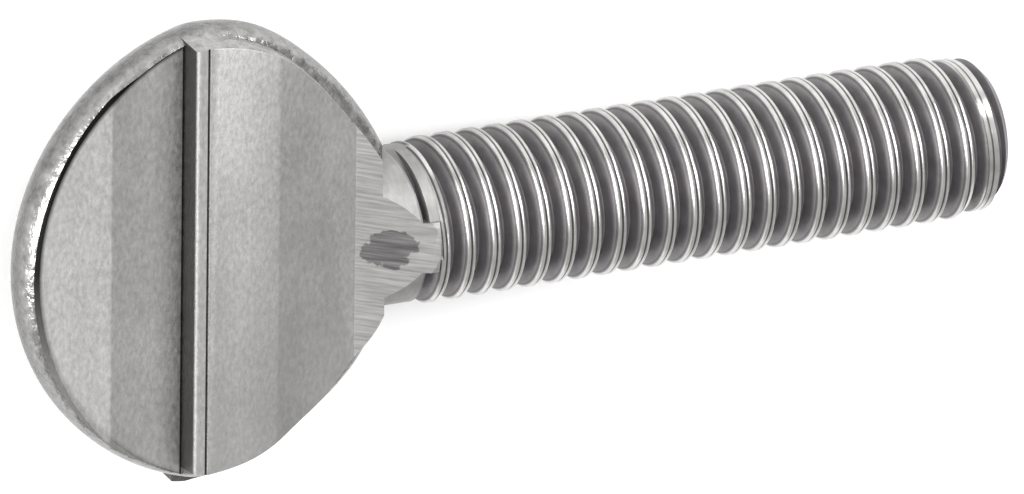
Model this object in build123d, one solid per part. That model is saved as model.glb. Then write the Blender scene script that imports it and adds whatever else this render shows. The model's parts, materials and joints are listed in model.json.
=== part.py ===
from build123d import *
import math
import os

# A thumb screw pressed from one piece of steel wire: a flat oval head for finger and thumb
# at one end of a round shank with a rolled M6 thread. Millimetres.
# While it is modelled, X runs along the shank to its tip, Y across the head and Z out of
# the head's front face, and X = 0 is where the head runs into the shank. At the end the
# screw is laid down as it comes to rest on a table.

# Thread
thread_size = 6.0
pitch = 1.0
flank_angle = 30.0
crest_flat = pitch / 8
thread_depth = 0.6134 * pitch
first_groove_x = 0.5
groove_start_angle = 45.0
tip_x = 24.05
tip_chamfer = 0.5

# Neck, the plain blank between the head and the thread
neck_size = 5.7
neck_end_x = 1.2
neck_root_x = -1.6
tongue_width = 1.9

# Rim of the head: arcs of one half, from the outer end round to its corner with the neck
neck_corner_x = -0.148
head_shift = 0.18
outer_radius = 8.78
outer_sweep = 74.3
corner_radius = 2.76
corner_sweep = 16.85
shoulder_radius = 6.14
shoulder_sweep = 36.8
flank_radius = 11.73
flank_sweep = 26.2
rim_thickness = 2.1
rim_round = 0.75

# Floor of the outer half, pressed a little below the rim by a round punch
floor_radius = 8.75
floor_centre_x = -4.93
floor_height = 0.93
floor_crease_x = -10.95
floor_end_height = 0.75

# Pad, the thick half beside the shank, moved a little against the rim
step_x = -8.16
step_round = 0.2
pad_height = 1.95
pad_inset = 0.274
pad_side_angle = 4.0
pad_shift_x = -0.33
pad_shift_y = 0.22
pad_crease_x = -4.92
slope_start_x = -1.77
slope_start_height = 1.65
slope_end_x = 1.0
slope_end_height = 2.98

# Scored line along the step's ridge
line_x = -7.7
line_width = 0.12
line_depth = 0.06

# How far trimming solids reach out past the head, and a cut past what it cuts
reach = 3 * outer_radius
spare = 2.0
groove_spare = 0.04


def rim_arcs(outer_end_x, inset=0.0):
    """Arcs of the head's lower half, drawn in by the inset."""
    outer = JernArc((outer_end_x + inset, 0), (0, -1), outer_radius - inset, outer_sweep)
    corner = JernArc(outer @ 1, outer % 1, corner_radius - inset, corner_sweep)
    shoulder = JernArc(corner @ 1, corner % 1, shoulder_radius - inset, shoulder_sweep)
    flank = JernArc(shoulder @ 1, shoulder % 1, flank_radius - inset, flank_sweep)
    return [outer, corner, shoulder, flank]


def head_outline(inset=0.0):
    """Outline of the head seen from the front, drawn in by the inset and closed in the neck."""
    head_length = (rim_arcs(0)[-1] @ 1).X
    arcs = rim_arcs(neck_corner_x - head_length, inset)
    half = Curve() + arcs
    neck_end = arcs[-1] @ 1
    closing = Line(neck_end, (neck_end.X, -neck_end.Y))
    return make_face(half + closing + mirror(half, Plane.XZ))


def side_block(points):
    """A block right across the head; its side view is the points and their mirror image."""
    below = [(x, 0, -z) for x, z in reversed(points)]
    outline = Polyline([(x, 0, z) for x, z in points] + below, close=True)
    return extrude(make_face(outline), reach, both=True)


def rim_plate():
    """The flat head with its rounded edge."""
    plate = extrude(Pos(0, head_shift) * head_outline(), rim_thickness / 2, both=True)
    curved = [edge for edge in plate.edges() if edge.geom_type == GeomType.CIRCLE]
    return fillet(curved, rim_round)


def floor_pockets():
    """What the round punch presses out of both faces of the outer half."""
    disc = Pos(floor_centre_x, head_shift) * Cylinder(floor_radius, 2 * pad_height)
    outer_half = side_block([(-reach, 2 * pad_height), (step_x, 2 * pad_height)])
    kept = side_block([
        (-reach, floor_end_height),
        (floor_centre_x - floor_radius, floor_end_height),
        (floor_crease_x, floor_height),
        (step_x + spare, floor_height),
    ])
    return (disc & outer_half) - kept


def pad_block():
    """The room that the dies leave over the pad and the neck, in front and behind."""
    room = side_block([
        (step_x, pad_height),
        (line_x - line_width / 2, pad_height),
        (line_x, pad_height - line_depth),
        (line_x + line_width / 2, pad_height),
        (pad_crease_x, pad_height),
        (slope_start_x, slope_start_height),
        (slope_end_x, slope_end_height),
        (slope_end_x, thread_size),
        (tip_x + spare, thread_size),
    ])
    ridges = room.edges().filter_by(Axis.Y).group_by(Axis.X)[0]
    return fillet(ridges, step_round)


def pad_side():
    """The drafted side wall of the pad, on the head's front."""
    outline = Pos(pad_shift_x, head_shift + pad_shift_y) * head_outline(pad_inset)
    return extrude(outline, slope_end_height, taper=pad_side_angle)


def blank():
    """The turned form of the shank, its seam at the angle where the groove starts."""
    neck = neck_size / 2
    body = thread_size / 2
    section = Polyline(
        (neck_root_x, 0),
        (neck_root_x, neck),
        (neck_end_x, neck),
        (neck_end_x + body - neck, body),
        (tip_x - tip_chamfer, body),
        (tip_x, body - tip_chamfer),
        (tip_x, 0),
        close=True,
    )
    return Rot(groove_start_angle, 0, 0) * revolve(make_face(section), Axis.X)


def thread_groove():
    """The groove between the turns of the thread, wound from the neck past the tip."""
    outer = thread_size / 2 + groove_spare
    root = thread_size / 2 - thread_depth
    outer_half_width = (pitch - crest_flat) / 2 + groove_spare * math.tan(math.radians(flank_angle))
    root_half_width = outer_half_width - (outer - root) * math.tan(math.radians(flank_angle))
    section = [
        (root, -root_half_width),
        (outer, -outer_half_width),
        (outer, outer_half_width),
        (root, root_half_width),
    ]
    start_angle = math.radians(groove_start_angle)
    start_x = first_groove_x + pitch * groove_start_angle / 360
    outward = (0, math.cos(start_angle), math.sin(start_angle))
    faces = []
    for turn in range(math.ceil((tip_x - start_x) / pitch) + 1):
        coils = []
        for radius, along in section:
            start = (start_x + turn * pitch + along, 0, 0)
            coil = Plane(start, x_dir=outward, z_dir=(1, 0, 0)) * Helix(pitch, pitch, radius)
            coils.append(coil.edge())
        if not faces:
            faces.append(make_face(Polyline([coil @ 0 for coil in coils], close=True)).face())
        faces += [Face.make_surface_from_curves(coils[i - 1], coils[i]) for i in range(len(coils))]
    faces.append(make_face(Polyline([coil @ 1 for coil in coils], close=True)).face())
    return Solid(Shell(faces))


def head():
    """The pressed head with the start of the neck."""
    front = pad_side()
    both_sides = front + Rot(180, 0, 0) * front
    return (rim_plate() - floor_pockets()) + (both_sides & pad_block())


def tongues():
    """The metal that the dies press over the first groove, on both faces."""
    length = slope_end_x - neck_root_x
    return Pos(neck_root_x + length / 2) * Box(length, tongue_width, thread_size)


def thumb_screw():
    """The whole screw as it is modelled, in one solid."""
    shank = blank() & pad_block()
    return head() + (shank - thread_groove()) + (tongues() & shank)


def resting_roll(screw):
    """Angle about the shank at which the head's heavier edge meets the table."""
    reach = thread_size / 2
    angles = []
    for edge in screw.edges():
        for share in (0, 0.5, 1):
            point = edge @ share
            distance = math.hypot(point.Y, point.Z)
            if point.X < neck_root_x and point.Y > 0 and point.Z < 0 and distance > reach:
                angles.append(math.asin(reach / distance) - math.atan2(-point.Z, point.Y))
    return math.degrees(min(angles))


def at_rest(screw):
    """The screw rolled onto its edge, with the table at Z = 0 and its middle at X = Y = 0."""
    rolled = Rot(-resting_roll(screw), 0, 0) * screw
    box = rolled.bounding_box()
    middle = box.center()
    return Pos(-middle.X, -middle.Y, thread_size / 2) * rolled


if __name__ == "__main__":
    os.makedirs("parts", exist_ok=True)
    screw = at_rest(thumb_screw())
    export_step(screw, "parts/thumb_screw.step")
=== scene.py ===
import json
import math

import bpy
from mathutils import Matrix, Vector


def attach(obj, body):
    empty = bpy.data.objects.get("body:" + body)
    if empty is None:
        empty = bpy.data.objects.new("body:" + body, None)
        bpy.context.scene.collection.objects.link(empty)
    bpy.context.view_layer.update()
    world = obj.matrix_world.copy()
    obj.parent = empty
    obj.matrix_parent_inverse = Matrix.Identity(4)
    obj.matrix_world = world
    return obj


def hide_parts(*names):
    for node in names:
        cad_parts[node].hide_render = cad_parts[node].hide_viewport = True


bl_info = {
    "name": "Thumb screw with a flat pressed head",
    "version": (1, 0, 0),
    "blender": (4, 5, 0),
    "location": "3D View > Sidebar > Thumb screw",
    "description": "Models a pressed steel thumb screw with its rolled thread and a studio stage",
    "category": "Add Mesh",
}

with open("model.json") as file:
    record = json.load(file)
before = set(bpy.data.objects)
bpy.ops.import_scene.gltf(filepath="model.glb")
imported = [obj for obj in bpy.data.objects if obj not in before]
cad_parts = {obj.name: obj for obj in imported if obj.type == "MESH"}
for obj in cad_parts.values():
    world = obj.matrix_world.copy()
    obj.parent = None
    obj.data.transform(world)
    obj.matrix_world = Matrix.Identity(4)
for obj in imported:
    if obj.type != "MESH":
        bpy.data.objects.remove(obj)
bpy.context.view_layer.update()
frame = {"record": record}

NODE = "thumb_screw"
METRES_PER_MM = 0.001
TIP = Vector(next(m["pos_m"] for m in frame["record"]["mounts"] if m["name"] == "tip_face"))

# Millimetres: how far a trimming or cutting solid reaches past what it trims, the width of the
# blocks that trim the head, and small gaps that keep the faces of two solids from coinciding
SPARE = 2.0
BLOCK_WIDTH = 28.0
TONGUE_GAP = 0.004
ENVELOPE_GAP = 0.001

# Millimetres: corners nearer than this are one, while a solid is drawn and when it is finished
DRAWN_JOIN = 1e-4
FINISHED_JOIN = 3e-3


def mm_field(name, default, description):
    """A length in the screw's own millimetres."""
    return bpy.props.FloatProperty(name=name, description=description, default=default, precision=3)


def degree_field(name, default, description):
    """An angle, shown in degrees."""
    return bpy.props.FloatProperty(
        name=name, description=description, default=math.radians(default), subtype="ANGLE")


def linear(hex_colour):
    """An sRGB colour such as "a9a9a6" as linear red, green, blue and alpha."""
    shares = [int(hex_colour[i:i + 2], 16) / 255 for i in (0, 2, 4)]
    return [s / 12.92 if s <= 0.04045 else ((s + 0.055) / 1.055) ** 2.4 for s in shares] + [1.0]


def colour_field(name, default, description):
    """A surface colour, given as sRGB hex."""
    return bpy.props.FloatVectorProperty(
        name=name, description=description, default=linear(default), size=4, subtype="COLOR",
        min=0.0, max=1.0)


class ThreadSizes(bpy.types.PropertyGroup):
    """The rolled thread and the shank's end."""
    diameter: mm_field("Diameter", 6.0, "Over the crests of the thread, mm")
    pitch: mm_field("Pitch", 1.0, "From one crest to the next, mm")
    depth: mm_field("Depth", 0.6134, "From the crests down to the root, mm")
    flank_angle: degree_field("Flank angle", 30.0, "Of each flank from square to the shank")
    crest_x: mm_field("Crest position", 2.0, "Where a crest passes the top of the shank, mm")
    lip_width: mm_field("Lip width", 0.09, "From the seam in a crest to the top of its lip, mm")
    seam_depth: mm_field("Seam depth", 0.05, "Of the fine seam that rolling leaves in a crest, mm")
    tip_x: mm_field("Tip", 24.05, "Where the shank ends, mm from the head's corner")
    tip_chamfer: mm_field("Tip chamfer", 0.45, "Of the shank's end, mm")
    fade_length: mm_field("Fade length", 1.75, "From where the last crest starts to fade to the tip, mm")
    fade_depth: mm_field("Fade depth", 0.17, "How much lower the faded crest is, mm")
    steps: bpy.props.IntProperty(name="Steps", description="Faces round one turn", default=96)


class NeckSizes(bpy.types.PropertyGroup):
    """The plain neck and the way the first groove grows out of it."""
    diameter: mm_field("Diameter", 5.7, "Of the plain neck, mm")
    root_x: mm_field("Root", -1.6, "How far the neck reaches into the head, mm")
    first_groove_x: mm_field("First groove", 0.5, "Where the first groove starts at the shank's top, mm")
    groove_edge: mm_field("Groove edge", 0.38, "From the middle of the first groove to its edge, mm")
    groove_fill: mm_field("Groove fill", -0.02, "From the groove's middle to the metal that fills it, mm")
    fill_end: degree_field("Fill end", 100.0, "How far round the metal fills the first groove")
    runout: degree_field("Run-out", 70.0, "Of the first groove, from nothing to its full depth")
    low_crest_x: mm_field("Low crest", 1.0, "Up to where the crests are as low as the neck, mm")
    full_crest_x: mm_field("Full crest", 1.3, "Where the crests have their full height, mm")
    tongue_width: mm_field("Tongue width", 1.9, "Of the pressed tongue over the first groove, mm")


class HeadSizes(bpy.types.PropertyGroup):
    """The flat head: its rim, the pressed floor and the thick pad."""
    corner_x: mm_field("Corner", -0.148, "Where the rim meets the neck, mm")
    shift: mm_field("Shift", 0.18, "How far the head sits off the shank's middle, mm")
    outer_radius: mm_field("Outer radius", 8.78, "Of the rim's outer arc, mm")
    outer_sweep: degree_field("Outer sweep", 74.3, "Of half the outer arc")
    corner_radius: mm_field("Step corner radius", 2.76, "Of the rim beside the step, mm")
    corner_sweep: degree_field("Corner sweep", 16.85, "Of the rim's arc beside the step")
    shoulder_radius: mm_field("Shoulder radius", 6.14, "Of the rim round the pad, mm")
    shoulder_sweep: degree_field("Shoulder sweep", 36.8, "Of the rim's arc round the pad")
    flank_radius: mm_field("Flank radius", 11.73, "Of the rim towards the neck, mm")
    flank_sweep: degree_field("Flank sweep", 26.2, "Of the rim's arc towards the neck")
    thickness: mm_field("Rim thickness", 2.1, "Of the rim, mm")
    rounding: mm_field("Rim rounding", 0.8, "From the outline in to the rim's flat, mm")
    floor_radius: mm_field("Floor radius", 8.75, "Of the round punch that presses the floor, mm")
    floor_centre_x: mm_field("Floor centre", -4.93, "Middle of the round punch, mm")
    floor_draft: degree_field("Floor draft", 50.0, "Of the wall round the floor, from upright")
    floor_height: mm_field("Floor height", 0.8, "Of the floor over the middle plane, mm")
    floor_crease_x: mm_field("Floor crease", -10.95, "Where the floor starts to fall away, mm")
    floor_end_height: mm_field("Floor end height", 0.62, "Of the floor at its outer end, mm")
    step_x: mm_field("Step", -8.16, "Where the thick half starts, mm")
    step_lap: mm_field("Step lap", 0.05, "How far the pressed floor runs in under the step, mm")
    step_round: mm_field("Step rounding", 0.2, "Of the step's ridge, mm")
    pad_height: mm_field("Pad height", 1.95, "Of the thick half over the middle plane, mm")
    pad_inset: mm_field("Pad inset", 0.274, "Of the pad's foot from the rim, mm")
    pad_side_angle: degree_field("Pad side angle", 4.0, "Of the pad's drafted side")
    pad_shift: bpy.props.FloatVectorProperty(
        name="Pad shift", description="Of the pad against the rim, mm", default=(-0.33, 0.22), size=2)
    pad_round: mm_field("Pad rounding", 0.07, "Of the pad's edge, mm")
    pad_crease_x: mm_field("Pad crease", -4.92, "Where the pad starts to fall away, mm")
    slope_start_x: mm_field("Slope start", -1.77, "Where the slope to the neck starts, mm")
    slope_start_height: mm_field("Slope start height", 1.65, "Of the slope's low end, mm")
    slope_end_x: mm_field("Slope end", 1.0, "Where the slope meets the thread, mm")
    slope_end_height: mm_field("Slope end height", 2.98, "Of the slope's high end, mm")
    line_x: mm_field("Scored line", -7.7, "Place of the line along the ridge, mm")
    line_width: mm_field("Line width", 0.12, "Of the scored line, mm")
    line_depth: mm_field("Line depth", 0.06, "Of the scored line, mm")


class FinishColours(bpy.types.PropertyGroup):
    """The greys of the steel."""
    pressed: colour_field("Pressed steel", "c6c5c3", "Of the head's pressed faces")
    stained: colour_field("Stained steel", "807e7f", "Of the dark smear by the neck")
    rolled: colour_field("Rim steel", "949392", "Of the rim and the pad's side")
    # The crest and flank greys paint light: a painted highlight on the crests and painted shade on the
    # flanks
    crest: colour_field("Crest steel", "bdbcba", "Of the thread's crests")
    flank: colour_field("Flank steel", "747173", "Of the thread's flanks")


class StageSettings(bpy.types.PropertyGroup):
    """How the screw lies, and what is round it."""
    roll: degree_field("Roll", 7.931, "Of the screw about its shank, as it lies on its edge")
    floor_colour: colour_field("Floor", "f4f4f4", "Of the table and the backdrop")
    world_strength: bpy.props.FloatProperty(
        name="World strength", description="Of the plain light from all sides", default=0.68)
    lens: bpy.props.FloatProperty(name="Lens", description="Focal length, mm", default=686.6)


# Selecting and finishing

def deselect_all():
    """Leave no object selected."""
    bpy.ops.object.select_all(action="DESELECT")


def select_only(piece):
    """Make one object the only one that operators act on."""
    deselect_all()
    piece.select_set(True)
    bpy.context.view_layer.objects.active = piece


def edit(piece):
    """Open one object in edit mode, with all of it selected."""
    select_only(piece)
    bpy.ops.object.mode_set(mode="EDIT")
    bpy.ops.mesh.select_mode(type="VERT")
    bpy.ops.mesh.select_all(action="SELECT")


def edit_edges(piece, wanted):
    """Open one object in edit mode, with the edges selected whose two ends are wanted."""
    edit(piece)
    bpy.ops.mesh.select_all(action="DESELECT")
    bpy.ops.mesh.select_mode(type="EDGE")
    stop_editing()
    for edge in piece.data.edges:
        first, second = (piece.data.vertices[i].co for i in edge.vertices)
        edge.select = wanted(first, second)
    bpy.ops.object.mode_set(mode="EDIT")


def stop_editing():
    """Go back to object mode."""
    bpy.ops.object.mode_set(mode="OBJECT")


def apply_modifier(piece, kind, **settings):
    """Add a modifier with its settings and apply it."""
    modifier = piece.modifiers.new(kind.title(), kind)
    for key, value in settings.items():
        setattr(modifier, key, value)
    select_only(piece)
    bpy.ops.object.modifier_apply(modifier=modifier.name)


def combine(piece, tool, operation):
    """Join, cut or trim a piece with another solid, which is used up."""
    apply_modifier(
        piece, "BOOLEAN", operation=operation, object=tool, solver="EXACT", material_mode="TRANSFER")
    mesh = tool.data
    bpy.data.objects.remove(tool)
    bpy.data.meshes.remove(mesh)
    return piece


def paint(piece, material):
    """Give a whole solid one material."""
    piece.data.materials.clear()
    piece.data.materials.append(material)
    return piece


def face_outwards(piece, join=DRAWN_JOIN):
    """Join the corners that are nearer than a distance, and turn all normals outwards."""
    edit(piece)
    bpy.ops.mesh.remove_doubles(threshold=join)
    bpy.ops.mesh.dissolve_degenerate(threshold=join)
    bpy.ops.mesh.normals_make_consistent(inside=False)
    stop_editing()


# Drawing

def draw_line(name, points):
    """A chain of edges through the points, drawn by extruding one vertex."""
    deselect_all()
    bpy.ops.mesh.primitive_plane_add(size=1.0, location=points[0])
    piece = bpy.context.object
    piece.name = name
    bpy.ops.object.transform_apply(location=True, rotation=True, scale=True)
    edit(piece)
    bpy.ops.mesh.merge(type="CENTER")
    for here, there in zip(points, points[1:]):
        move = Vector(there) - Vector(here)
        bpy.ops.mesh.extrude_region_move(TRANSFORM_OT_translate={"value": move})
    stop_editing()
    return piece


def draw_face(name, points):
    """One flat face with the points as its corners."""
    piece = draw_line(name, points)
    edit(piece)
    bpy.ops.mesh.edge_face_add()
    stop_editing()
    return piece


def thicken(piece, move):
    """Pull a flat face out into a solid."""
    edit(piece)
    bpy.ops.mesh.extrude_region_move(TRANSFORM_OT_translate={"value": move})
    stop_editing()
    face_outwards(piece)
    return piece


def turned(name, section, steps):
    """A solid of revolution about the shank; the section runs from axis to axis."""
    piece = draw_line(name, [(x, 0.0, r) for x, r in section])
    edit(piece)
    bpy.ops.mesh.spin(steps=steps, angle=2 * math.pi, center=(0, 0, 0), axis=(1, 0, 0))
    stop_editing()
    face_outwards(piece)
    return piece


def arc(start, heading, radius, sweep, steps):
    """Points of an arc that turns left from a start point and heading, and its end heading."""
    centre = Vector(start) + radius * Vector((-math.sin(heading), math.cos(heading)))
    points = []
    for step in range(1, steps + 1):
        angle = heading + sweep * step / steps
        points.append(centre + radius * Vector((math.sin(angle), -math.cos(angle))))
    return points, heading + sweep


# Where the pressed metal flowed further or less far than the arcs: the direction from the
# head's middle and the width in degrees, and the height in mm
HEAD_MIDDLE = Vector((-6.0, 0.18))
RIM_SWELLS = ((135, 30, -0.06), (84, 8, 0.05), (-73, 10, -0.2), (-45, 11, 0.12))
PAD_SWELLS = ((92, 20, -0.06), (52, 22, -0.22), (-92, 12, -0.06), (-73, 10, -0.18), (-35, 10, 0.1))


def swollen(points, swells):
    """Points of an outline, moved out or in where the metal swells."""
    moved = []
    for point in points:
        out = point - HEAD_MIDDLE
        direction = math.degrees(math.atan2(out.y, out.x))
        height = 0.0
        for middle, width, swell in swells:
            away = (direction - middle + 180) % 360 - 180
            height += swell * math.exp(-(away / width) ** 2)
        moved.append(point + height * out.normalized())
    return moved


def head_outline(head, inset, swells):
    """Corner points of the head's outline seen from the front, drawn in by the inset."""
    points = [Vector((inset, 0.0))]
    heading = -math.pi / 2
    arcs = (
        (head.outer_radius, head.outer_sweep, 56),
        (head.corner_radius, head.corner_sweep, 6),
        (head.shoulder_radius, head.shoulder_sweep, 20),
        (head.flank_radius, head.flank_sweep, 24),
    )
    for radius, sweep, steps in arcs:
        more, heading = arc(points[-1], heading, radius - inset, sweep, steps)
        points += more
    corner = points[-1] - inset * Vector((-math.sin(heading), math.cos(heading)))
    move = Vector((head.corner_x - corner.x, head.shift))
    mirrored = [Vector((p.x, -p.y)) for p in reversed(points[1:])]
    return swollen([point + move for point in points + mirrored], swells)


def side_block(name, points):
    """A block right across the head; its side view is the points and their mirror image."""
    upper = [Vector((x, -BLOCK_WIDTH / 2, z)) for x, z in points]
    below = [Vector((p.x, p.y, -p.z)) for p in reversed(upper)]
    return thicken(draw_face(name, upper + below), (0, BLOCK_WIDTH, 0))


# Head

# How much of the rim's half thickness its bevel takes, so that the two don't meet; the bevel's
# profile, where 0.5 is a true round; and the sides of the round punch
RIM_BEVEL_SHARE = 0.99
RIM_BEVEL_PROFILE = 0.57
PUNCH_SIDES = 256

# How upright the normal is at most on a side wall, and at least on a face that the dies press
WALL_NORMAL = 0.3
FACE_NORMAL = 0.8


def rim_plate(head, material):
    """The flat head with a rim that is round right across."""
    half = head.rounding
    outline = [(p.x, p.y, -half) for p in head_outline(head, 0.0, RIM_SWELLS)]
    plate = thicken(draw_face("rim", outline), (0, 0, 2 * half))
    edit_edges(plate, lambda first, second: abs(first.z - second.z) < DRAWN_JOIN)
    bpy.ops.mesh.bevel(
        offset=RIM_BEVEL_SHARE * half, segments=10, affect="EDGES", profile=RIM_BEVEL_PROFILE)
    bpy.ops.mesh.select_all(action="SELECT")
    bpy.ops.transform.resize(value=(1, 1, head.thickness / 2 / half), center_override=(0, 0, 0))
    stop_editing()
    return paint(plate, material)


def floor_punch(head, sloping, material):
    """A round punch with a drafted wall, whose working face is level or slopes to its outer end."""
    deselect_all()
    depth = 2 * head.pad_height
    spread_out = depth * math.tan(head.floor_draft)
    bpy.ops.mesh.primitive_cone_add(
        vertices=PUNCH_SIDES, radius1=head.floor_radius, radius2=head.floor_radius + spread_out,
        depth=depth,
        location=(head.floor_centre_x, head.shift, head.floor_height + depth / 2))
    punch = bpy.context.object
    bpy.ops.object.transform_apply(location=True, rotation=True, scale=True)
    edit(punch)
    bpy.ops.mesh.bisect(
        plane_co=(head.step_x + head.step_lap, 0, 0), plane_no=(1, 0, 0), use_fill=True,
        clear_outer=True)
    if sloping:
        drop = head.floor_height - head.floor_end_height
        run = head.floor_crease_x - (head.floor_centre_x - head.floor_radius)
        bpy.ops.mesh.select_all(action="SELECT")
        bpy.ops.transform.translate(value=(0, 0, -drop))
        bpy.ops.mesh.bisect(
            plane_co=(head.floor_crease_x, 0, head.floor_height),
            plane_no=Vector((-drop, 0, run)).normalized(), use_fill=True, clear_inner=True)
    stop_editing()
    face_outwards(punch)
    return paint(punch, material)


def turned_below(piece):
    """A copy of a solid, turned half round the shank to the head's back."""
    select_only(piece)
    bpy.ops.object.duplicate()
    below = bpy.context.object
    below.rotation_euler = (math.pi, 0, 0)
    bpy.ops.object.transform_apply(location=True, rotation=True, scale=True)
    return below


def press_floor(plate, head, material):
    """Press the outer half of both faces: a level floor and its sloping end."""
    for sloping in (False, True):
        punch = floor_punch(head, sloping, material)
        combine(plate, turned_below(punch), "DIFFERENCE")
        combine(plate, punch, "DIFFERENCE")
    return plate


def pad_profile(head, tip_x):
    """Side view of what the dies leave room for, from the step to past the tip."""
    radius = head.step_round
    ridge = []
    for step in range(7):
        angle = math.pi / 2 * step / 6
        ridge.append((
            head.step_x + radius * (1 - math.cos(angle)),
            head.pad_height - radius * (1 - math.sin(angle)),
        ))
    start = Vector((head.slope_start_x, head.slope_start_height))
    end = Vector((head.slope_end_x, head.slope_end_height))
    slope = [start.lerp(end, step / 8) for step in range(9)]
    return ridge + [
        (head.line_x - head.line_width / 2, head.pad_height),
        (head.line_x, head.pad_height - head.line_depth),
        (head.line_x + head.line_width / 2, head.pad_height),
        (head.pad_crease_x, head.pad_height),
        *slope,
        (head.slope_end_x, 2 * head.slope_end_height),
        (tip_x + SPARE, 2 * head.slope_end_height),
    ]


def pad(head, material):
    """One drafted pad, from the middle plane to over its full height."""
    top = head.slope_end_height
    draft = top * math.tan(head.pad_side_angle)
    move = Vector(head.pad_shift)
    loops = []
    for inset, z in ((head.pad_inset, 0.0), (head.pad_inset + draft, top)):
        outline = head_outline(head, inset, PAD_SWELLS)
        loops.append(draw_face("pad", [(p + move).to_3d() + Vector((0, 0, z)) for p in outline]))
    deselect_all()
    for loop in loops:
        loop.select_set(True)
    bpy.context.view_layer.objects.active = loops[0]
    bpy.ops.object.join()
    piece = bpy.context.object
    edit(piece)
    bpy.ops.mesh.bridge_edge_loops()
    stop_editing()
    face_outwards(piece)
    return paint(piece, material)


def round_pad_edge(piece, head):
    """Round the edge between the pad's faces and its side walls."""
    uprights = {}
    for face in piece.data.polygons:
        for ends in face.edge_keys:
            uprights.setdefault(ends, []).append(abs(face.normal.z))
    chosen = set()
    for ends, shares in uprights.items():
        corners = [piece.data.vertices[i].co for i in ends]
        first_x, last_x = sorted(corner.x for corner in corners)
        on_pad = (first_x > head.line_x + head.line_width
                  and last_x < head.slope_start_x - head.pad_round)
        across = last_x - first_x < 1e-3
        if on_pad and not across and min(shares) < WALL_NORMAL and max(shares) > FACE_NORMAL:
            chosen.add(frozenset(corner.to_tuple(5) for corner in corners))
    edit_edges(piece, lambda first, second: (
        frozenset((first.to_tuple(5), second.to_tuple(5))) in chosen))
    bpy.ops.mesh.bevel(offset=head.pad_round, segments=2, affect="EDGES", profile=0.5)
    stop_editing()
    return piece


# Shank

def thread_section(thread):
    """One pitch of the thread from root to root, as (x, radius) pairs round a crest at x = 0."""
    top = thread.diameter / 2
    root = top - thread.depth
    slope = 1 / math.tan(thread.flank_angle)
    lip = thread.lip_width
    half = [
        (0.0, top - thread.seam_depth),
        (0.3 * lip, top - 0.8 * thread.seam_depth),
        (0.65 * lip, top - 0.15 * thread.seam_depth),
        (lip, top),
        (1.45 * lip, top - 0.2 * lip),
        (1.9 * lip, top - 0.75 * lip),
    ]
    flank_x, flank_r = half[-1]
    foot_r = root + 0.08 * thread.pitch
    foot_x = flank_x + (flank_r - foot_r) / slope
    half.append(((flank_x + foot_x) / 2, (flank_r + foot_r) / 2))
    half.append((foot_x, foot_r))
    valley = thread.pitch / 2
    half.append(((foot_x + valley) / 2, root + 0.2 * (foot_r - root)))
    half.append((valley, root))
    left = [(-x, r) for x, r in reversed(half[1:])]
    return left + half


def turn_share(point):
    """Share of a turn from the shank's top over its front, for a point of the shank."""
    return (math.atan2(point.z, point.y) / (2 * math.pi)) % 1.0


def fair_neck(rod, thread, neck):
    """Fill the turns before the first groove, and let that groove grow out of the plain neck."""
    plain = neck.diameter / 2
    root = thread.diameter / 2 - thread.depth
    fill_share = neck.fill_end / (2 * math.pi)
    runout_share = neck.runout / (2 * math.pi)
    for vertex in rod.data.vertices:
        point = vertex.co
        share = turn_share(point)
        along = (point.x - neck.first_groove_x) - share * thread.pitch
        radius = math.hypot(point.y, point.z)
        if along < -neck.groove_edge:
            wanted = plain
        elif neck.groove_fill < along < neck.groove_edge and share < fill_share:
            wanted = plain
        elif along < neck.groove_edge and share < runout_share:
            grown = math.sin(math.pi / 2 * share / runout_share)
            wanted = max(radius, plain - (plain - root) * grown)
        else:
            continue
        point.y *= wanted / radius
        point.z *= wanted / radius


def threaded_rod(thread, neck, material):
    """The neck and the thread in one rod, cut square at both ends."""
    start = thread.crest_x - math.ceil(thread.crest_x - neck.root_x + 1)
    turns = math.ceil(thread.tip_x - start) + 2
    section = [(x + start, r, 0.0) for x, r in thread_section(thread)]
    rod = draw_line("thread", section)
    apply_modifier(
        rod, "SCREW", axis="X", angle=2 * math.pi, screw_offset=thread.pitch, iterations=turns,
        steps=thread.steps, render_steps=thread.steps, use_merge_vertices=True,
        merge_threshold=DRAWN_JOIN, use_smooth_shade=True)
    edit(rod)
    bpy.ops.mesh.remove_doubles(threshold=DRAWN_JOIN)
    stop_editing()
    fair_neck(rod, thread, neck)
    edit(rod)
    for x, outer in ((neck.root_x, False), (thread.tip_x, True)):
        bpy.ops.mesh.select_all(action="SELECT")
        bpy.ops.mesh.bisect(
            plane_co=(x, 0, 0), plane_no=(1, 0, 0), use_fill=True,
            clear_outer=outer, clear_inner=not outer)
    stop_editing()
    face_outwards(rod)
    return paint(rod, material)


def shank_envelope(thread, neck, material):
    """What the crests may fill: lower crests at the neck, and the tip's chamfer."""
    top = thread.diameter / 2
    plain = neck.diameter / 2
    section = [
        (neck.root_x - SPARE, 0.0),
        (neck.root_x - SPARE, plain + ENVELOPE_GAP),
        (neck.low_crest_x, plain + ENVELOPE_GAP),
        (neck.full_crest_x, top + ENVELOPE_GAP),
        (thread.tip_x - thread.fade_length, top + ENVELOPE_GAP),
        (thread.tip_x - 0.8 * thread.fade_length, top - thread.fade_depth),
        (thread.tip_x - thread.tip_chamfer, top - thread.fade_depth),
        (thread.tip_x + SPARE, top - thread.fade_depth - thread.tip_chamfer - SPARE),
        (thread.tip_x + SPARE, 0.0),
    ]
    return paint(turned("envelope", section, 2 * thread.steps), material)


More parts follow.
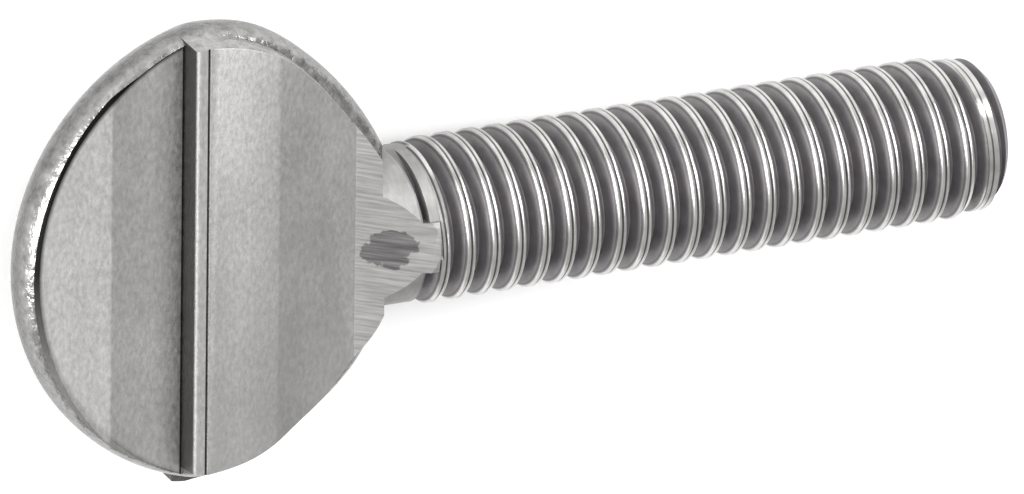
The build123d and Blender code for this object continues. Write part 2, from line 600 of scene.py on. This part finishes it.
def tongues(neck, head, thread, material):
    """Metal that the dies press over the first groove, on both faces."""
    radius = thread.diameter / 2 - TONGUE_GAP
    half = neck.tongue_width / 2
    top = 2 * head.slope_end_height
    start_x = neck.root_x / 2
    corners = [
        (start_x, -half, -top / 2), (head.slope_end_x, -half, -top / 2),
        (head.slope_end_x, half, -top / 2), (start_x, half, -top / 2)]
    block = thicken(draw_face("tongues", corners), (0, 0, top))
    reach = SPARE + head.slope_end_x
    section = [(-reach, 0.0), (-reach, radius), (reach, radius), (reach, 0.0)]
    body = turned("body", section, 2 * thread.steps)
    return paint(combine(block, body, "INTERSECT"), material)


def build_screw(head, thread, neck, materials):
    """The whole screw in one solid: the rim with its pressed floor, both pads and the shank."""
    rod = threaded_rod(thread, neck, materials["thread"])
    combine(rod, shank_envelope(thread, neck, materials["thread"]), "INTERSECT")
    combine(rod, tongues(neck, head, thread, materials["face"]), "UNION")
    front = pad(head, materials["rim"])
    both = combine(front, turned_below(front), "UNION")
    combine(both, rod, "UNION")
    room = paint(side_block("room", pad_profile(head, thread.tip_x)), materials["face"])
    combine(both, room, "INTERSECT")
    round_pad_edge(both, head)
    plate = press_floor(rim_plate(head, materials["rim"]), head, materials["face"])
    return combine(plate, both, "UNION")


# Materials

# What the noise texture mostly keeps between
NOISE_LOW = 0.3
NOISE_HIGH = 0.7

# Sizes of the steel's patterns in millimetres, matched to the photograph
CLOUD_SIZE = 2.2
GRAIN_SIZE = 0.14
DRAG_LINE_SIZE = 0.1
DIMPLE_SIZE = 0.42
NICK_SIZE = 0.13
THREAD_CLOUD_SIZE = 0.8
STREAK_SIZE = 0.12

# How deep their relief is, in millimetres
GRAIN_DEPTH = 0.01
DIMPLE_DEPTH = 0.08
NICK_DEPTH = 0.025
STREAK_DEPTH = 0.006

# How far the drag lines on the slope turn away from the shank
DRAG_ANGLE = math.radians(8.6)

# Millimetres: half the width over which one facet's painted shading turns to the next, the middle and
# half the length and width of the dark smear by the neck, and the size of its ragged edge
CREASE_SOFTNESS = 0.04
SMEAR_X = -0.7
SMEAR_HALF_LENGTH = 0.95
SMEAR_HALF_WIDTH = 0.72
SMEAR_EDGE_SIZE = 0.5

# Millimetres under the full crests' tops between which the flanks' painted shade turns to the crest's
# painted highlight, then the same for the last crest as it fades, and how far from the tip that crest
# lies
CREST_TURNS = (0.14, 0.09)
FADED_CREST_TURNS = (0.24, 0.2)
FADED_CREST_FROM_TIP = 0.95
FADED_CREST_HALF_WIDTH = 0.5


def feed(tree, target, inputs):
    """Set a node's inputs, by name or from the first on, to nodes, sockets or plain values."""
    named = inputs if isinstance(inputs, dict) else dict(enumerate(inputs))
    for key, value in named.items():
        if isinstance(value, bpy.types.Node):
            value = value.outputs[0]
        if isinstance(value, bpy.types.NodeSocket):
            tree.links.new(value, target.inputs[key])
        else:
            target.inputs[key].default_value = value


def node(tree, kind, inputs=(), **settings):
    """Add a node with its settings, and with its inputs as feed takes them."""
    new = tree.nodes.new(kind)
    for key, value in settings.items():
        setattr(new, key, value)
    feed(tree, new, inputs)
    return new


def new_material(name):
    """An empty material; returns it, its tree and its shader."""
    material = bpy.data.materials.new(name)
    material.use_nodes = True
    tree = material.node_tree
    return material, tree, tree.nodes["Principled BSDF"]


def screw_space(tree, stage, thread):
    """Object coordinates in the screw's own millimetres, with X along its shank."""
    place = node(tree, "ShaderNodeTexCoord").outputs["Object"]
    moved = node(tree, "ShaderNodeMapping", {
        "Vector": place, "Location": tuple(-TIP / METRES_PER_MM), "Scale": (1 / METRES_PER_MM,) * 3})
    return node(tree, "ShaderNodeMapping", {
        "Vector": moved, "Rotation": (stage.roll, 0, 0), "Location": (thread.tip_x, 0, 0)})


def distance_from(tree, place, middle, scale):
    """Distance from a point with each axis scaled; a scale of 0 leaves its axis out."""
    away = node(tree, "ShaderNodeVectorMath", (place, middle), operation="SUBTRACT")
    scaled = node(tree, "ShaderNodeVectorMath", (away, scale), operation="MULTIPLY")
    return node(tree, "ShaderNodeVectorMath", (scaled,), operation="LENGTH").outputs["Value"]


def noise(tree, place, size_mm, stretch=(1, 1, 1), turn=0.0, detail=3.0, roughness=0.55):
    """Noise with features of about a size, longer along an axis where stretch is under 1."""
    turned_place = node(tree, "ShaderNodeMapping", {"Vector": place, "Rotation": (0, 0, turn)})
    shaped = node(tree, "ShaderNodeMapping", {"Vector": turned_place, "Scale": stretch})
    return node(tree, "ShaderNodeTexNoise", {
        "Vector": shaped, "Scale": 1 / size_mm, "Detail": detail, "Roughness": roughness,
    }).outputs["Fac"]


def product(tree, *factors):
    """All the factors multiplied together."""
    total, *others = factors
    for factor in others:
        total = node(tree, "ShaderNodeMath", (total, factor), operation="MULTIPLY")
    return total


def band(tree, value, middle, half_width, outside=1.0, inside=0.0):
    """One factor near a place and another away from it, with a narrow soft border."""
    offset = node(tree, "ShaderNodeMath", (value, middle), operation="SUBTRACT")
    away = node(tree, "ShaderNodeMath", (offset,), operation="ABSOLUTE")
    return node(
        tree, "ShaderNodeMapRange", (away, 0.7 * half_width, 1.3 * half_width, inside, outside))


def scaled_colour(tree, colour, factor):
    """A colour made darker or lighter by a factor."""
    grey = node(tree, "ShaderNodeCombineColor", (factor, factor, factor))
    return node(
        tree, "ShaderNodeMix", {0: 1.0, 6: colour, 7: grey}, data_type="RGBA",
        blend_type="MULTIPLY").outputs[2]


def profile_along(tree, x, low, high, stops):
    """A value drawn against a place along the shank; stops are (mm, value) pairs."""
    share = node(tree, "ShaderNodeMapRange", (x, low, high))
    ramp = node(tree, "ShaderNodeValToRGB", (share,))
    elements = ramp.color_ramp.elements
    for number, (place, value) in enumerate(stops):
        at = (place - low) / (high - low)
        element = elements[number] if number < 2 else elements.new(at)
        element.position = at
        element.color = (value, value, value, 1.0)
    return ramp


def facet_painted_shading(tree, x, head):
    """Painted light and shade: how light each facet of the head is painted, as its tilt turns it to or
    from the lamps, from its outer end to the neck.
    """
    return profile_along(tree, x, -15.0, 3.0, (
        (-14.0, 1.06),
        (head.floor_crease_x - CREASE_SOFTNESS, 1.0),
        (head.floor_crease_x + CREASE_SOFTNESS, 0.7),
        (head.step_x - 1.2, 0.78),
        (head.step_x - 0.1, 0.66),
        (head.step_x + 0.3, 0.9),
        (head.line_x + 1.2, 0.98),
        (head.pad_crease_x - CREASE_SOFTNESS, 0.86),
        (head.pad_crease_x + CREASE_SOFTNESS, 0.74),
        (head.slope_start_x - CREASE_SOFTNESS, 0.8),
        (head.slope_start_x + CREASE_SOFTNESS, 0.72),
    ))


def painted_crease_shade(tree, place, x, y, head):
    """Painted shade where the head darkens: at the step's foot and wall, in the scored line and in the
    crevice round the floor.
    """
    # Where each line lies, half its width, and what share of the light is left in it
    across = (
        (head.step_x - 0.03, 0.035, 0.08),
        (head.step_x + 0.03, 0.05, 0.62),
        (head.line_x, 0.06, 0.2),
    )
    lines = [band(tree, x, middle, half, inside=factor) for middle, half, factor in across]
    radius = distance_from(tree, place, (head.floor_centre_x, head.shift, 0.0), (1, 1, 0))
    # Painted shade in the crevice round the floor: dark on the head's upper side, which faces away from
    # the light, and faint on the lower one
    crevice = product(
        tree,
        node(tree, "ShaderNodeMapRange", (
            radius, head.floor_radius - 0.14, head.floor_radius + 0.02)),
        node(tree, "ShaderNodeMapRange", (y, -3.5, 0.5, 0.25, 0.97)),
        node(tree, "ShaderNodeMath", (x, head.step_x), operation="LESS_THAN"))
    clear = node(tree, "ShaderNodeMath", (1.0, crevice), operation="SUBTRACT")
    return product(tree, *lines, clear)


def smear_share(tree, place, on_slope):
    """How far the ragged dark smear covers the slope."""
    distance = distance_from(
        tree, place, (SMEAR_X, 0.0, 0.0), (1 / SMEAR_HALF_LENGTH, 1 / SMEAR_HALF_WIDTH, 0.0))
    edge = noise(tree, place, SMEAR_EDGE_SIZE)
    uneven = node(tree, "ShaderNodeMapRange", (edge, 0.2, 0.8, -0.45, 0.45))
    ragged = node(tree, "ShaderNodeMath", (distance, uneven), operation="ADD")
    return product(tree, node(tree, "ShaderNodeMapRange", (ragged, 0.9, 1.0, 1.0, 0.0)), on_slope)


def pressed_steel(colours, stage, head, thread):
    # Cold-pressed bright steel: each facet gets its own grey, which is painted light and shade from its
    # tilt, with painted shade in the creases, a fine mottled grain across it and fine drag lines where
    # the metal was squeezed out along the neck
    material, tree, shader = new_material("pressed bright steel")
    place = screw_space(tree, stage, thread)
    axes = node(tree, "ShaderNodeSeparateXYZ", (place,)).outputs
    x, y = axes["X"], axes["Y"]
    clouds = noise(tree, place, CLOUD_SIZE, stretch=(1, 0.7, 1), detail=4.0)
    grain = noise(tree, place, GRAIN_SIZE, stretch=(1, 0.5, 1), detail=4.0, roughness=0.7)
    drag = noise(tree, place, DRAG_LINE_SIZE, stretch=(0.06, 1, 0.06), turn=DRAG_ANGLE)
    on_slope = node(
        tree, "ShaderNodeMapRange", (x, head.slope_start_x - 0.05, head.slope_start_x + 0.05))
    relief = node(tree, "ShaderNodeMix", {0: on_slope, 2: grain, 3: drag}, data_type="FLOAT")
    tone = product(
        tree, facet_painted_shading(tree, x, head), painted_crease_shade(tree, place, x, y, head),
        node(tree, "ShaderNodeMapRange", (clouds, NOISE_LOW, NOISE_HIGH, 0.9, 1.07)),
        node(tree, "ShaderNodeMapRange", (relief, 0.25, 0.75, 0.86, 1.12)))
    streaked = node(tree, "ShaderNodeMapRange", (relief, NOISE_LOW, NOISE_HIGH, 0.6, 1.1))
    colour = node(tree, "ShaderNodeMix", {
        0: smear_share(tree, place, on_slope),
        6: scaled_colour(tree, tuple(colours.pressed), tone),
        7: scaled_colour(tree, tuple(colours.stained), streaked),
    }, data_type="RGBA").outputs[2]
    feed(tree, shader, {
        "Base Color": colour,
        "Metallic": 1.0,
        "Roughness": node(tree, "ShaderNodeMapRange", (relief, NOISE_LOW, NOISE_HIGH, 0.38, 0.52)),
        "Normal": node(tree, "ShaderNodeBump", {
            "Height": relief, "Distance": GRAIN_DEPTH * METRES_PER_MM, "Strength": 1.0}),
    })
    return material


def rim_steel(colours, stage, thread):
    # The same steel where it was squeezed out freely at the rim: softly dimpled like orange peel, so its
    # highlights break up, and painted darker round its outermost edge as painted shade where the rim
    # turns away from the light
    material, tree, shader = new_material("burnished rim steel")
    place = screw_space(tree, stage, thread)
    dimples = noise(tree, place, DIMPLE_SIZE, detail=2.0)
    nicks = noise(tree, place, NICK_SIZE, stretch=(1, 0.6, 1))
    z = node(tree, "ShaderNodeSeparateXYZ", (place,)).outputs["Z"]
    height = node(tree, "ShaderNodeMath", (z,), operation="ABSOLUTE")
    # The last factor is painted shade: the rim is darker near the middle plane, round its outermost edge
    tone = product(
        tree,
        node(tree, "ShaderNodeMapRange", (dimples, NOISE_LOW, NOISE_HIGH, 0.7, 1.25)),
        node(tree, "ShaderNodeMapRange", (nicks, NOISE_LOW, NOISE_HIGH, 0.86, 1.1)),
        node(tree, "ShaderNodeMapRange", (height, 0.1, 0.75, 0.5, 1.0)))
    dimpled = node(tree, "ShaderNodeBump", {
        "Height": dimples, "Distance": DIMPLE_DEPTH * METRES_PER_MM, "Strength": 1.0})
    feed(tree, shader, {
        "Base Color": scaled_colour(tree, tuple(colours.rolled), tone),
        "Metallic": 1.0,
        "Roughness": node(tree, "ShaderNodeMapRange", (dimples, NOISE_LOW, NOISE_HIGH, 0.24, 0.4)),
        "Normal": node(tree, "ShaderNodeBump", {
            "Height": nicks, "Distance": NICK_DEPTH * METRES_PER_MM, "Strength": 1.0,
            "Normal": dimpled}),
    })
    return material


def turns_wound(tree, axes, thread):
    """The share of a turn from the shank's top, and the place along the thread's helix in turns."""
    angle = node(tree, "ShaderNodeMath", (axes["Z"], axes["Y"]), operation="ARCTAN2")
    turns = node(tree, "ShaderNodeMath", (angle, 2 * math.pi), operation="DIVIDE")
    share = node(tree, "ShaderNodeMath", (turns,), operation="FRACT")
    pitches = node(tree, "ShaderNodeMath", (axes["X"], thread.pitch), operation="DIVIDE")
    return share, node(tree, "ShaderNodeMath", (pitches, share), operation="SUBTRACT")


def plain_neck(tree, share, wound, neck):
    """Where the thread's solid is plain: before the first groove and where it is filled."""
    start = neck.first_groove_x - neck.groove_edge
    before = node(tree, "ShaderNodeMapRange", (wound, start, start + CREASE_SOFTNESS, 1.0, 0.0))
    filled = product(
        tree, band(tree, wound, neck.first_groove_x + 0.2, 0.2, outside=0.0, inside=1.0),
        node(tree, "ShaderNodeMath", (share, neck.fill_end / (2 * math.pi)), operation="LESS_THAN"))
    return node(tree, "ShaderNodeMath", (before, filled), operation="MAXIMUM")


def seam_painted_shade(tree, wound, on_neck, thread):
    """Painted shade in the seam of each crest and a painted shadow line beside it, which darken the
    thread.
    """
    shifted = node(
        tree, "ShaderNodeMath", (wound, 0.5 - thread.crest_x / thread.pitch), operation="ADD")
    within = node(tree, "ShaderNodeMath", (shifted,), operation="FRACT")
    from_crest = node(tree, "ShaderNodeMath", (within, 0.5), operation="SUBTRACT")
    lines = product(
        tree, band(tree, from_crest, 0.0, 0.035, inside=0.25),
        band(tree, from_crest, -0.2, 0.025, inside=0.4))
    return node(tree, "ShaderNodeMath", (lines, on_neck), operation="MAXIMUM")


def thread_steel(colours, stage, thread, neck):
    # Rolled thread: the crests are painted bright as a painted highlight and the flanks a darker grey as
    # painted shade between them; the flanks are also duller and faintly cloudy
    material, tree, shader = new_material("rolled thread steel")
    place = screw_space(tree, stage, thread)
    axes = node(tree, "ShaderNodeSeparateXYZ", (place,)).outputs
    top = thread.diameter / 2
    radius = distance_from(tree, place, (0, 0, 0), (0, 1, 1))
    share, wound = turns_wound(tree, axes, thread)
    on_neck = plain_neck(tree, share, wound, neck)
    # The crest share places the painted highlight: the crests, the fading last crest and the plain neck
    # take the bright crest grey, the flanks the darker grey of painted shade
    crest, faded = (
        node(tree, "ShaderNodeMapRange", (radius, top - low, top - high))
        for low, high in (CREST_TURNS, FADED_CREST_TURNS))
    by_tip = band(
        tree, axes["X"], thread.tip_x - FADED_CREST_FROM_TIP, FADED_CREST_HALF_WIDTH, outside=0.0,
        inside=1.0)
    fading = product(tree, by_tip, faded)
    for more in (on_neck, fading):
        crest = node(tree, "ShaderNodeMath", (crest, more), operation="MAXIMUM")
    clouds = noise(tree, place, THREAD_CLOUD_SIZE, detail=4.0)
    streaks = noise(tree, place, STREAK_SIZE, stretch=(1, 0.3, 0.3))
    tone = product(
        tree,
        node(tree, "ShaderNodeMapRange", (clouds, NOISE_LOW, NOISE_HIGH, 0.85, 1.12)),
        node(tree, "ShaderNodeMapRange", (streaks, NOISE_LOW, NOISE_HIGH, 0.92, 1.06)),
        seam_painted_shade(tree, wound, on_neck, thread),
        node(tree, "ShaderNodeMapRange", (on_neck, 0.0, 1.0, 1.0, 0.62)))
    colour = node(tree, "ShaderNodeMix", {
        0: crest, 6: tuple(colours.flank), 7: tuple(colours.crest)}, data_type="RGBA").outputs[2]
    smooth = node(tree, "ShaderNodeMapRange", (crest, 0.0, 1.0, 0.42, 0.28))
    feed(tree, shader, {
        "Base Color": scaled_colour(tree, colour, tone),
        "Metallic": node(tree, "ShaderNodeMapRange", (crest, 0.0, 1.0, 0.5, 1.0)),
        "Roughness": node(
            tree, "ShaderNodeMath", (smooth, product(tree, on_neck, 0.3)), operation="ADD"),
        "Normal": node(tree, "ShaderNodeBump", {
            "Height": streaks, "Distance": STREAK_DEPTH * METRES_PER_MM, "Strength": 1.0}),
    })
    return material


# Operators

def place_on_table(piece, stage, thread):
    """Take the finished screw from its own millimetres to where the CAD model lies."""
    select_only(piece)
    piece.matrix_world = (
        Matrix.Translation(TIP)
        @ Matrix.Rotation(-stage.roll, 4, "X")
        @ Matrix.Scale(METRES_PER_MM, 4)
        @ Matrix.Translation((-thread.tip_x, 0, 0)))
    bpy.ops.object.transform_apply(location=True, rotation=True, scale=True)


class MESH_OT_pressed_screw(bpy.types.Operator):
    """Model the thumb screw in one piece and lay it where the CAD model lies"""
    bl_idname = "mesh.pressed_screw"
    bl_label = "Pressed screw"

    def execute(self, context):
        scene = context.scene
        stage = scene.screw_stage
        colours = scene.screw_colours
        materials = {
            "face": pressed_steel(colours, stage, scene.screw_head, scene.screw_thread),
            "rim": rim_steel(colours, stage, scene.screw_thread),
            "thread": thread_steel(colours, stage, scene.screw_thread, scene.screw_neck),
        }
        piece = build_screw(scene.screw_head, scene.screw_thread, scene.screw_neck, materials)
        piece.name = "pressed_screw"
        face_outwards(piece, join=FINISHED_JOIN)
        place_on_table(piece, stage, scene.screw_thread)
        select_only(piece)
        bpy.ops.object.shade_smooth_by_angle(angle=math.radians(28))
        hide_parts(NODE)
        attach(piece, "root")
        return {"FINISHED"}


# Where the photograph was taken from, in the screw's own millimetres, and its sensor
CAMERA_RIGHT = Vector((0.90058, 0.01421, 0.43446))
CAMERA_UP = Vector((0.14163, 0.93533, -0.32418))
CAMERA_BACK = Vector((-0.41097, 0.35348, 0.84033))
CAMERA_PLACE = 4.72444597 * CAMERA_RIGHT - 0.768099234 * CAMERA_UP + 699.477334 * CAMERA_BACK
SENSOR_WIDTH = 36.0

# Soft boxes: name, direction from the screw, width and height in metres, and power in watts
SOFT_BOXES = (
    ("left_box", (-0.92, 0.13, 0.34), 0.45, 0.16, 5.0),
    ("top_box", (0.0, 0.5, 0.86), 0.3, 0.2, 2.0),
    ("back_box", (0.3, 0.85, 0.4), 0.4, 0.12, 1.6),
)
SOFT_BOX_DISTANCE = 0.6

# How strongly the table glows to the camera and in the metal, so that it stays white there
TABLE_GLOW = 0.12


def add_camera(stage, thread):
    """The photograph's view of the screw as it lies."""
    turn = Matrix.Rotation(-stage.roll, 4, "X")
    facing = Matrix((CAMERA_RIGHT, CAMERA_UP, CAMERA_BACK)).transposed().to_4x4()
    place = TIP + turn @ ((CAMERA_PLACE - Vector((thread.tip_x, 0, 0))) * METRES_PER_MM)
    bpy.ops.object.camera_add()
    camera = bpy.context.object
    camera.name = "photo_camera"
    camera.matrix_world = Matrix.Translation(place) @ turn @ facing
    camera.data.sensor_width = SENSOR_WIDTH
    camera.data.lens = stage.lens
    camera.data.clip_start = 0.01
    camera.data.clip_end = 20.0
    bpy.context.scene.camera = camera


def add_soft_box(name, direction, width, height, power):
    """A soft box that shines on the screw from a direction."""
    place = Vector(direction).normalized() * SOFT_BOX_DISTANCE
    bpy.ops.object.light_add(type="AREA", location=place)
    lamp = bpy.context.object
    lamp.name = name
    lamp.data.shape = "RECTANGLE"
    lamp.data.size = width
    lamp.data.size_y = height
    lamp.data.energy = power
    lamp.rotation_euler = place.to_track_quat("Z", "Y").to_euler()


def add_world(strength):
    """Plain light from all sides; the camera and the metal see it as the background."""
    world = bpy.data.worlds.new("studio")
    bpy.context.scene.world = world
    world.use_nodes = True
    tree = world.node_tree
    feed(tree, tree.nodes["Background"], {"Color": (1, 1, 1, 1), "Strength": strength})


def add_floor(colour):
    """The white card that the screw lies on."""
    deselect_all()
    bpy.ops.mesh.primitive_plane_add(size=6.0, location=(0, 0, 0))
    floor = bpy.context.object
    floor.name = "table"
    bpy.ops.object.transform_apply(location=True, rotation=True, scale=True)
    material, tree, shader = new_material("white card")
    path = node(tree, "ShaderNodeLightPath").outputs
    seen = node(
        tree, "ShaderNodeMath", (path["Is Camera Ray"], path["Is Glossy Ray"]), operation="ADD",
        use_clamp=True)
    feed(tree, shader, {
        "Base Color": tuple(colour),
        "Roughness": 0.9,
        "Emission Color": (1, 1, 1, 1),
        "Emission Strength": node(tree, "ShaderNodeMapRange", (seen, 0.0, 1.0, 0.0, TABLE_GLOW)),
    })
    paint(floor, material)


class SCENE_OT_screw_stage(bpy.types.Operator):
    """Set the table, the soft light and the photograph's camera"""
    bl_idname = "scene.screw_stage"
    bl_label = "Stage"

    def execute(self, context):
        scene = context.scene
        stage = scene.screw_stage
        add_floor(stage.floor_colour)
        add_world(stage.world_strength)
        for soft_box in SOFT_BOXES:
            add_soft_box(*soft_box)
        add_camera(stage, scene.screw_thread)
        scene.view_settings.view_transform = "Standard"
        return {"FINISHED"}


class VIEW3D_PT_thumb_screw(bpy.types.Panel):
    """Sizes, colours and steps of the thumb screw"""
    bl_label = "Thumb screw"
    bl_space_type = "VIEW_3D"
    bl_region_type = "UI"
    bl_category = "Thumb screw"

    def draw(self, context):
        scene = context.scene
        for settings in (
                scene.screw_thread, scene.screw_neck, scene.screw_head, scene.screw_colours,
                scene.screw_stage):
            box = self.layout.box()
            for name in settings.__annotations__:
                box.prop(settings, name)
        self.layout.operator(MESH_OT_pressed_screw.bl_idname)
        self.layout.operator(SCENE_OT_screw_stage.bl_idname)


CLASSES = (
    ThreadSizes, NeckSizes, HeadSizes, FinishColours, StageSettings,
    MESH_OT_pressed_screw, SCENE_OT_screw_stage, VIEW3D_PT_thumb_screw,
)
SETTINGS = {
    "screw_thread": ThreadSizes,
    "screw_neck": NeckSizes,
    "screw_head": HeadSizes,
    "screw_colours": FinishColours,
    "screw_stage": StageSettings,
}


def register():
    """Add the add-on's classes and the scene's settings."""
    for kind in CLASSES:
        bpy.utils.register_class(kind)
    for name, kind in SETTINGS.items():
        setattr(bpy.types.Scene, name, bpy.props.PointerProperty(type=kind))


def unregister():
    """Take the settings and the classes away again."""
    for name in SETTINGS:
        delattr(bpy.types.Scene, name)
    for kind in reversed(CLASSES):
        bpy.utils.unregister_class(kind)


def main():
    """Build the screw and its stage."""
    register()
    bpy.ops.mesh.pressed_screw()
    bpy.ops.scene.screw_stage()


if __name__ == "__main__":
    main()
